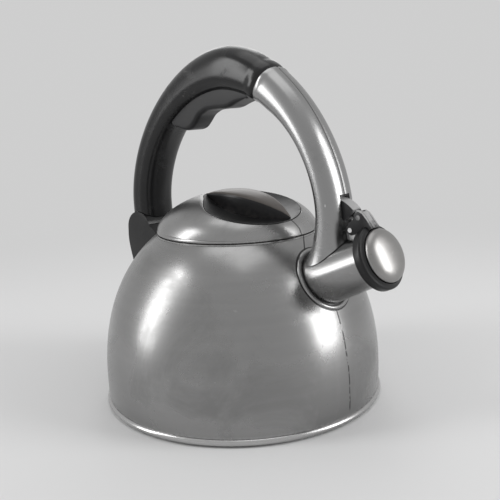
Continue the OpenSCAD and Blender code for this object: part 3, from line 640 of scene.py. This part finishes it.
def makeLid():
    rx, ry = lid["recess"]
    sides, steps = 192, 26

    def ringAt(f, lift, grow=0.0):  # rings that pass from the recess's edge to the lid's rim
        ring = []
        for k in range(sides):
            w = 2 * pi * k / sides
            radius = recessR(w) * (1 - f) + lid["r"] * f + grow
            x, y = rx * (1 - f) + radius * cos(w), ry * (1 - f) + radius * sin(w)
            ring.append((x, y, domeAt(x, y) + lift))
        return ring

    rings = [ringAt(0, -2.2, -0.1), ringAt(0, -0.9, 0.0), ringAt(0, -0.35, 0.25), ringAt(0, -0.06, 0.8)]
    rings += [ringAt(1 - (1 - i / steps) ** 2.2, 0) for i in range(1, steps - 3)]
    rimLine = [(lid["r"] - 1.3, lid["domeZ"] + 3.4), (lid["r"] - 1.0, lid["domeZ"] + 2.3),
               (lid["r"] - 0.75, lid["domeZ"] + 1.7), (lid["r"] - 0.3, lid["domeZ"] + 1.2),
               (lid["r"] + 0.05, lid["domeZ"] + 0.6), (lid["r"] + 0.1, lid["domeZ"] - 0.1),
               (lid["r"] - 0.1, lid["z"] + 0.4), (lid["r"] - 0.5, lid["z"] + 0.05),
               (lid["r"] - 1.6, lid["z"]), (lid["r"] - 1.8, lid["z"] + 1.4)]
    for r, z in rimLine:
        rings.append([(r * cos(2 * pi * k / sides), r * sin(2 * pi * k / sides), z) for k in range(sides)])
    rings += [[(x * 0.985, y * 0.985, z - 1.2) for x, y, z in ringAt(1 - (1 - i / steps) ** 2.2, 0)]
              for i in range(steps - 2, 0, -2)]
    makePiece("lid_dome", *joinRings(rings, looped=True), "lid", ["lid_shell"], "lid_steel",
              material=finishes["lid"])

    def dishRing(f, lift):
        ring = []
        for k in range(120):
            w = 2 * pi * k / 120
            x, y = rx + f * recessR(w) * cos(w), ry + f * recessR(w) * sin(w)
            ring.append((x, y, floorAt(x, y) + lift))
        return ring

    shares = [0.004] + [i / 22 for i in range(1, 22)] + [0.975, 0.99]
    rings = [dishRing(f, 0) for f in shares]
    rings += [dishRing(0.995, -0.35), dishRing(0.995, -1.8)]
    rings += [dishRing(f, -2) for f in shares[::-3]]
    makePiece("finger_dish", *joinRings(rings), "lid", ["lid_dish"], "recess_plastic",
              material=finishes["dish"])
    makeLidBar()


def makeLidBar():
    half = lid["barLen"] / 2
    sideR = (lid["barLen"] ** 2 / 4 + lid["barW"] ** 2 / 4) / lid["barW"]
    turn = radians(lid["turn"])

    def place(u, v):
        return (lid["recess"][0] + u * cos(turn) - v * sin(turn),
                lid["recess"][1] + u * sin(turn) + v * cos(turn))

    rings, stations = [], 48
    for i in range(stations + 1):
        u = (half - 0.9) * sin(pi / 2 * (2 * i / stations - 1))
        w = sqrt(sideR ** 2 - u * u) - sideR + lid["barW"] / 2
        ring = []
        lift = lid["barRise"] * w / (lid["barW"] / 2)
        edge = min(1.4, w * 0.45)  # the size of the rounded corner along both sides
        for v, drop in ((-1, None), (-1, edge + 0.8), (-1, edge), (-1 + 0.30 * edge / w, 0.30 * edge),
                        (-1 + edge / w, 0.0), (-0.5, 0.0), (0, 0.0),
                        (0.5, 0.0), (1 - edge / w, 0.0), (1 - 0.30 * edge / w, 0.30 * edge), (1, edge),
                        (1, edge + 0.8), (1, None)):
            x, y = place(u, v * w)
            crown = 0.9 * (1 - v * v) * w / (lid["barW"] / 2)
            if drop is None:
                ring.append((x, y, floorAt(x, y) - 0.1))
            else:
                ring.append((x, y, domeAt(x, y) + lift - drop - 0.6 + crown))
        rings.append(ring)
    makePiece("lid_grip_bar", *joinRings(rings), "lid", ["lid_bar"], "lid_grip", sharp=50,
              material=finishes["bar"])


def makeSpout():
    l = spout["len"]
    wide = spoutR(-18)
    r = spoutR(l)
    profile = [(wide, -18), (spoutR(l - 2.2), l - 2.2), (r + 0.1, l - 1.0), (r + 0.05, l - 0.35),
               (r - 0.3, l), (r - 0.75, l - 0.1), (r - 1, l - 0.6), (wide - 1, -18)]
    tube = makePiece("spout_pipe", *turned(profile, 128, spoutPlace), "kettle", ["spout_tube"],
                     "spout_steel", material=finishes["spout"])
    inside = [(0.4, wallZ)] + bodyLine(1.0, wallZ, kettle["neckZ"] - 1, 40) + [(0.4, kettle["neckZ"] - 1)]
    cutWith(tube, [makeCutter(*solidTurned(inside, 160))])
    tube.data.shade_smooth()
    tube.data.set_sharp_from_angle(angle=radians(40))
    verts, faces = beadOnBody(spout["lipR"], spout["lip"], 0.1)
    makePiece("spout_root_lip", verts, faces, "kettle", ["spout_collar"], "spout_steel",
              material=finishes["spout"])


def onBody(radius, turn):  # where a line along the spout meets the body's wall
    low, high = -25.0, 40.0
    for _ in range(40):
        s = (low + high) / 2
        p = spoutPlace @ Vector((radius * cos(turn), radius * sin(turn), s))
        low, high = (s, high) if p.z < kettle["neckZ"] and hypot(p.x, p.y) < bodyAt(p.z) else (low, s)
    return spoutPlace @ Vector((radius * cos(turn), radius * sin(turn), (low + high) / 2))


def beadOnBody(radius, bead, lift, count=144, sides=16):
    path = [onBody(radius, 2 * pi * k / count) for k in range(count)]
    rings = []
    for k, c in enumerate(path):
        ahead = (path[(k + 1) % count] - path[k - 1]).normalized()
        slope = (bodyAt(c.z - 0.5) - bodyAt(c.z + 0.5))
        out = Vector((c.x, c.y, 0)).normalized()
        normal = (out + Vector((0, 0, slope))).normalized()
        side = ahead.cross(normal).normalized()
        centre = c + normal * lift
        rings.append([tuple(centre + normal * bead * 0.75 * sin(2 * pi * q / sides) + side * bead
                            * cos(2 * pi * q / sides)) for q in range(sides)])
    return joinRings(rings, looped=True)


def makeCap():
    r, d = cap["r"], cap["depth"]
    lip = cap["domeR"] + 0.5
    profile = [(cap["boreR"], 0.5), (cap["boreR"] + 0.5, 0.0), (r - 1.2, 0.0)]
    profile += arcPoints(r - 1.2, 1.2, 1.2, -90, 0, 6) + [(r, d * 0.52)]
    profile += arcPoints(r - 1.6, d * 0.62, 1.6, 10, 75, 6)
    profile += [(r - 2.5, d * 0.90), (lip, d * 0.985), (lip - 0.1, d * 0.9), (cap["pocketR"], d * 0.82)]
    makePiece("cap_collar", *turned(profile, 144, capPlace), "cap", ["cap_ring"], "cap_plastic",
              material=finishes["ring"])
    h, outer = cap["domeH"], []
    for i in range(37):
        t = radians(90 * i / 36)
        outer.append((max(0.05, cap["domeR"] * power(cos(t), 0.92)), d + 0.6 + h * power(sin(t), 0.92)))
    inner = [(max(0.05, q - 1.5), z - 0.9) for q, z in outer[::-3]]
    profile = [(cap["pocketR"], 6.2), (cap["pocketR"], d - 0.2), (cap["domeR"] - 0.35, d + 0.05),
               (cap["domeR"] - 0.05, d + 0.3)] + outer + inner + [(cap["pocketR"] - 0.8, 6.2)]
    makePiece("cap_dome_shell", *turned(profile, 144, capPlace), "cap", ["cap_dome"], "cap_steel",
              material=finishes["dome"])


def sectionRing(t, sides, outer=2.2, inner=2.6, inset=0.0, seam=0.0, flare=0.0, thin=0.0):
    a, b = eased(t, halfIn) - inset, eased(t, halfOut) - inset
    ring = []
    for k in range(sides):
        w = 2 * pi * k / sides
        p = outer if cos(w) > 0 else inner
        u, v = a * power(cos(w), 2 / p), b * power(sin(w), 2 / p)
        u = u + flare * cos(w) ** 2 if cos(w) > 0 else u * (1 - thin)
        ring.append((u, v))
    return [archPoint(t, u - (seam if k == 0 else 0), v) for k, (u, v) in enumerate(ring)]


arm = {"sides": 96, "steps": 110, "groove": 0.35, "lip": 0.5, "corner": (84.0, 107.0), "rise": 37.0,
       "thin": 0.24, "toe": 4.2}


def makeArm():
    rings = []
    for i in range(arm["steps"] + 1):
        t = arch["foot"] + (arch["joint"] - 0.25 - arch["foot"]) * i / arm["steps"]
        spread = max(0.0, 1 - (t - arch["foot"]) / 16) ** 2 * 1.2
        lip = arm["lip"] * max(0.0, 1 - abs(t - arch["joint"] + 1.2) / 0.9)
        flare = 3.6 * max(0.0, 1 - abs(t + 14) / 13) ** 1.5
        thin = arm["thin"] * max(0.0, 1 - ((t - 24) / 30) ** 2)
        thin = thin - arm["toe"] / 12 * max(0.0, (-12 - t) / 18) ** 1.5
        rings.append(sectionRing(t, arm["sides"], 2.3, 2.5, inset=-spread - lip, seam=arm["groove"],
                                 flare=flare, thin=thin))
    rings.append(sectionRing(arch["joint"] - 0.1, arm["sides"], 2.3, 2.5, inset=1.0))
    piece = makePiece("arm_casting", *joinRings(rings), "handle", ["handle_arm"], "arm_metal",
                      material=finishes["arm"])
    saddle = makeCutter(*solidTurned([(spoutR(-60) + 0.5, -60), (spoutR(70) + 0.5, 70)], 96, spoutPlace))
    wall = [(0.4, wallZ)] + [(r + 2.0, z + 1.4) for r, z in bodyLine(0, wallZ, kettle["neckZ"], 50)]
    wall += [(0.4, kettle["neckZ"] + 2)]
    shell = makeCutter(*solidTurned(wall, 160))
    slot = makeCutter(*boxMesh((96, -5.2, 134.0), (125, 5.2, 157.4)))
    foot = makeCutter(*turnedBox(arm["corner"], arm["rise"]))
    cutWith(piece, [saddle, shell, slot, foot])
    piece.data.shade_smooth()
    piece.data.set_sharp_from_angle(angle=radians(38))


def turnedBox(corner, rise):  # everything below a line that rises from the corner
    a = radians(rise)
    verts, faces = boxMesh((-60, -60, -80), (120, 60, 0))
    return [(corner[0] + x * cos(a) - z * sin(a), y, corner[1] + x * sin(a) + z * cos(a))
            for x, y, z in verts], faces


def boxMesh(lo, hi):
    verts = [(x, y, z) for x in (lo[0], hi[0]) for y in (lo[1], hi[1]) for z in (lo[2], hi[2])]
    return verts, [[0, 1, 3, 2], [4, 6, 7, 5], [0, 4, 5, 1], [2, 3, 7, 6], [0, 2, 6, 4], [1, 5, 7, 3]]


grip = {"sides": 96, "steps": 190, "endRound": 0.9, "endBand": 0.55}


def makeGrip():
    rings = []
    for i in range(grip["steps"] + 1):
        t = arch["joint"] + 0.15 + (arch["end"] - arch["joint"] - 0.15) * i / grip["steps"]
        end = t - arch["joint"]
        inset = grip["endRound"] * max(0.0, 1 - end / 0.7) ** 2
        inset = inset - grip["endBand"] * max(0.0, 1 - abs(end - 2.6) / 2.4) ** 0.5
        rings.append(sectionRing(t, grip["sides"], 2.15, 3.0, inset=inset))
    piece = makePiece("grip_moulding", *joinRings(rings), "handle", ["handle_grip"], "grip_plastic",
                      material=finishes["grip"])
    hollow = makeCutter(*crossCylinder(-arch["rearX"], arch["rearZ"], 14.8, 60))
    cutWith(piece, [hollow])
    piece.data.shade_smooth()
    piece.data.set_sharp_from_angle(angle=radians(38))


def crossCylinder(x, z, r, w, sides=96):
    ring = [(x + r * cos(2 * pi * k / sides), z + r * sin(2 * pi * k / sides)) for k in range(sides)]
    return joinRings([[(p, -w / 2, q) for p, q in ring], [(p, w / 2, q) for p, q in ring]])


pad = {"from": 68.0, "to": 132.0, "half": 10.0, "steps": 130,
       "depth": [(0, 0.4), (0.05, 3.6), (0.12, 7.4), (0.20, 10.8), (0.28, 12.0), (0.40, 12.2), (0.52, 11.6),
                 (0.62, 10.6), (0.72, 11.4), (0.80, 14.2), (0.87, 15.6), (0.93, 13.6), (0.97, 9.2),
                 (1.0, 2.0)]}


def makePad():
    rings = []
    for i in range(pad["steps"] + 1):
        f = i / pad["steps"]
        t = pad["from"] + (pad["to"] - pad["from"]) * f
        a, b, w = eased(t, halfIn), eased(t, halfOut), pad["half"]
        low = a + max(0.3, eased(f, pad["depth"], 0.022))
        skin = a * rounded(w / b, 3.0)
        ring = [(-skin + 2.5, -w), (-skin, -w - 0.3), (-(skin + low) / 2, -w - 0.25)]
        corner = min(3.6, max(0.2, (low - skin) * 0.4))
        for q in range(9):
            g = pi / 2 * q / 8
            ring.append((-(low - corner + corner * sin(g)), -(w - corner + corner * cos(g)) - 0.2 * cos(g)))
        ring += [(u, -v) for u, v in ring[::-1]]
        rings.append([archPoint(t, u, v) for u, v in ring])
    makePiece("finger_pad_moulding", *joinRings(rings), "handle", ["finger_pad"], "pad_rubber", sharp=48,
              material=finishes["pad"])


linkage = {"hinge": (107.0, 135.0), "mid": (113.0, 143.5), "width": 9.3, "tongue": 4.0, "tongueR": 3.4,
           "play": 0.5, "round": 0.7}


def slab(outline, y0, y1):
    return joinRings([[(p, y0, q) for p, q in outline], [(p, y1, q) for p, q in outline]])


def gather(parts):
    verts, faces = [], []
    for v, f in parts:
        faces += [[k + len(verts) for k in face] for face in f]
        verts += v
    return verts, faces


def makeLinkage():
    w, t = linkage["width"] / 2, linkage["tongue"] / 2
    hx, hz = linkage["hinge"]
    mx, mz = linkage["mid"]
    bar = [(92.6, 155.0), (97.4, 154.7), (101.8, 153.6), (105.8, 151.2), (108.6, 148.8), (109.9, 146.6),
           (108.0, 144.6), (105.2, 142.8), (103.4, 140.8), (101.7, 140.3), (99.2, 143.0), (96.4, 146.2),
           (93.0, 147.0)]
    tongue = [(105.0, 148.6)] + arcPoints(mx, mz, linkage["tongueR"], 100, -100, 10) + [(105.5, 143.4)]
    link = makePiece("cap_link_bar", *gather([slab(bar, -w, w), slab(tongue, -t, t)]), "link", ["cap_link"],
                     "link_metal", material=finishes["link"])
    smoothEdges(link, linkage["round"], 3, 40)
    ear = [(110.7, 147.0), (113.2, 147.8), (116.2, 146.3), (119.2, 143.0), (123.4, 137.6), (121.0, 136.0),
           (114.6, 135.0), (111.0, 132.6),
           (hx + 0.6, hz - 3.6), (hx - 2.4, hz - 2.6), (hx - 3.3, hz + 0.6),
           (hx - 1.6, hz + 4.2), (109.0, 142.2), (109.4, 145.0)]
    bridge = [(114.4, 147.4), (116.2, 146.3), (119.2, 143.0), (123.4, 137.6), (121.0, 136.0),
              (117.2, 140.0), (116.6, 143.6)]
    gap = t + linkage["play"]
    plates = [slab(ear, gap, w), slab(ear, -w, -gap), slab(bridge, -gap - 0.1, gap + 0.1)]
    lever = makePiece("cap_lever_plate", *gather(plates), "cap", ["cap_lever"], "cap_plastic",
                      material=finishes["link"])
    smoothEdges(lever, linkage["round"], 3, 40)


bracket = {"headR": 14.4, "width": 33.0, "slotR": 9.3, "slotW": 10.8, "round": 2.2}


def makeBracket():
    x, z, r, w = -arch["rearX"], arch["rearZ"], bracket["headR"], bracket["width"]
    outline = arcPoints(x, z, r, 20, 180, 20)
    outline += [(x - r - 0.45, z - 6), (x - r - 0.2, z - 11), (x - r + 0.7, z - 16), (x - r + 2.2, z - 22),
                (x - 10, z - 30), (x - 6.6, z - 38), (x - 2, z - 46), (x + 1, z - 50), (x + 22, z - 52),
                (x + 30, z - 8), (x + r - 1.5, z + 5)]
    verts, faces = joinRings([[(p, -w / 2, q) for p, q in outline], [(p, w / 2, q) for p, q in outline]])
    piece = makePiece("rear_mount", verts, faces, "kettle", ["rear_bracket"], "grip_plastic",
                      material=finishes["bracket"])
    smoothEdges(piece, bracket["round"], 4, 50)
    wall = [(0.4, wallZ)] + [(r0 + 0.02, z0) for r0, z0 in bodyLine(0, wallZ, kettle["neckZ"], 60)]
    wall += [(0.4, kettle["neckZ"] + 0.5)]
    slot = makeCutter(*crossCylinder(x, z, bracket["slotR"], bracket["slotW"]))
    notch = makeCutter(*boxMesh((x - bracket["slotR"], -bracket["slotW"] / 2, z),
                                (x + bracket["slotR"], bracket["slotW"] / 2, z + 30)))
    cutWith(piece, [makeCutter(*solidTurned(wall, 200)), slot, notch])
    piece.data.shade_smooth()
    piece.data.set_sharp_from_angle(angle=radians(38))


makeBody()
makeRim()
makeLid()
makeSpout()
makeCap()
print("body, lid, spout and cap made")
makeArm()
makeGrip()
makePad()
makeLinkage()
makeBracket()
print("handle made")


stays = {
    "neck_ring": "body", "heat_disc": "heat", "lid_skirt": "inner", "lid_gasket": "seal",
    "lid_clamp": "inner", "lid_screws": "pins",
    "spout_lug": "lug", "guide_post": "lug", "whistle_back_disc": "inner", "whistle_spacer": "inner",
    # lever_pin takes the link finish, with its painted highlight on top and painted shade on the sides
    "whistle_front_disc": "inner", "lever_pin": "link", "cap_hinge_pin": "pins",
    "link_pin": "pins", "handle_core": "core", "core_screws": "pins", "stop_pin": "pins",
    "bracket_rivets": "pins", "rear_pin": "pins",
}
for nodeName, finishName in stays.items():
    mesh = nodes[nodeName].data
    mesh.materials.clear()
    mesh.materials.append(finishes[finishName])
    mesh.shade_smooth()
    mesh.set_sharp_from_angle(angle=radians(32))


studio = {"floorTone": 0.70, "air": 0.5, "backdrop": 0.62}
lamps = {  # position, height of the aim, size, watts
    "keyPanel": ((-0.70, -0.92, 0.60), 0.10, (0.34, 1.15), 6.5),
    "sidePanel": ((1.10, 0.58, 0.55), 0.10, (0.55, 1.1), 10.0),
    "topPanel": ((0.0, 0.1, 1.3), 0.12, (0.9, 0.9), 2.4),
    "backPanel": ((-0.9, 0.9, 0.8), 0.14, (0.6, 0.9), 2.0),
}


def makeFloor():  # far from the object the floor turns into the backdrop's own tone, so that no edge shows
    mesh = bpy.data.meshes.new("studio_floor")
    s = 6.0
    mesh.from_pydata([(-s, -s, 0), (s, -s, 0), (s, s, 0), (-s, s, 0)], [], [[0, 1, 2, 3]])
    floor = bpy.data.objects.new("studio_floor", mesh)
    bpy.context.scene.collection.objects.link(floor)
    finish, tree, shader, place = startFinish("paleFloor")
    soft = addNode(tree, "ShaderNodeTexNoise", Vector=place, Scale=3.0, Detail=3.0)
    tone = studio["floorTone"]
    tree.links.new(mixColour(tree, soft.outputs[0], (tone * 0.98, tone * 0.98, tone * 0.985, 1),
                             (tone, tone, tone, 1)), shader.inputs["Base Color"])
    shader.inputs["Roughness"].default_value = 0.8
    far = remap(tree, addNode(tree, "ShaderNodeVectorMath", {"operation": "LENGTH"},
                              i0=place).outputs["Value"], 0.3, 0.85)
    glow = addNode(tree, "ShaderNodeEmission", Color=(1, 1, 1, 1), Strength=studio["backdrop"])
    blend = addNode(tree, "ShaderNodeMixShader", i0=mathNode(tree, "MULTIPLY", far, seenRay(tree)))
    tree.links.new(shader.outputs[0], blend.inputs[1])
    tree.links.new(glow.outputs[0], blend.inputs[2])
    out = [node for node in tree.nodes if node.bl_idname == "ShaderNodeOutputMaterial"][0]
    tree.links.new(blend.outputs[0], out.inputs[0])
    mesh.materials.append(finish)


def seenRay(tree):  # 1 for what the camera, gloss and glass see
    path = tree.nodes.new("ShaderNodeLightPath")
    shiny = mathNode(tree, "MAXIMUM", path.outputs["Is Glossy Ray"], path.outputs["Is Transmission Ray"])
    return mathNode(tree, "MAXIMUM", path.outputs["Is Camera Ray"], shiny)


def areaLight(name, position, target, size, watts):
    data = bpy.data.lights.new(name, "AREA")
    data.shape, data.size, data.size_y, data.energy = "RECTANGLE", size[0], size[1], watts
    light = bpy.data.objects.new(name, data)
    light.location = position
    light.rotation_euler = (Vector(target) - Vector(position)).to_track_quat("-Z", "Y").to_euler()
    bpy.context.scene.collection.objects.link(light)


def makeStudio():
    for name, (position, height, size, watts) in lamps.items():
        areaLight(name, position, (0, 0, height), size, watts)
    world = bpy.data.worlds.new("studioAir")
    bpy.context.scene.world = world
    world.use_nodes = True
    tree = world.node_tree
    tree.nodes.clear()
    out = tree.nodes.new("ShaderNodeOutputWorld")
    extra = mathNode(tree, "MULTIPLY", seenRay(tree), studio["backdrop"] - studio["air"])
    strength = mathNode(tree, "ADD", studio["air"], extra)
    air = addNode(tree, "ShaderNodeBackground", Color=(1, 1, 1, 1), Strength=strength)
    tree.links.new(air.outputs[0], out.inputs[0])


shot = {"distance": 0.540, "height": 0.223, "lens": 52.78, "turn": 45.0, "pitch": 11.99, "yaw": 0.94,
        "roll": -2.45}


def makeCamera():
    p, y, r = radians(shot["pitch"]), radians(shot["yaw"]), radians(shot["roll"])
    ahead = Vector((sin(y) * cos(p), cos(y) * cos(p), -sin(p)))
    right = Vector((cos(y), -sin(y), 0))
    up = right.cross(ahead)
    side, top = right * cos(r) + up * sin(r), -right * sin(r) + up * cos(r)
    spin = Matrix.Rotation(radians(shot["turn"]), 3, "Z")
    axes = Matrix((spin @ side, spin @ top, spin @ -ahead)).transposed()
    data = bpy.data.cameras.new("camera")
    data.lens, data.sensor_width, data.clip_start = shot["lens"], 36.0, 0.01
    camera = bpy.data.objects.new("camera", data)
    camera.matrix_world = Matrix.Translation(spin @ Vector((0, -shot["distance"],
                                                            shot["height"]))) @ axes.to_4x4()
    bpy.context.scene.collection.objects.link(camera)
    bpy.context.scene.camera = camera


makeFloor()
makeStudio()
makeCamera()
bpy.context.scene.view_settings.view_transform = "Standard"
bpy.context.view_layer.update()
print("studio made")
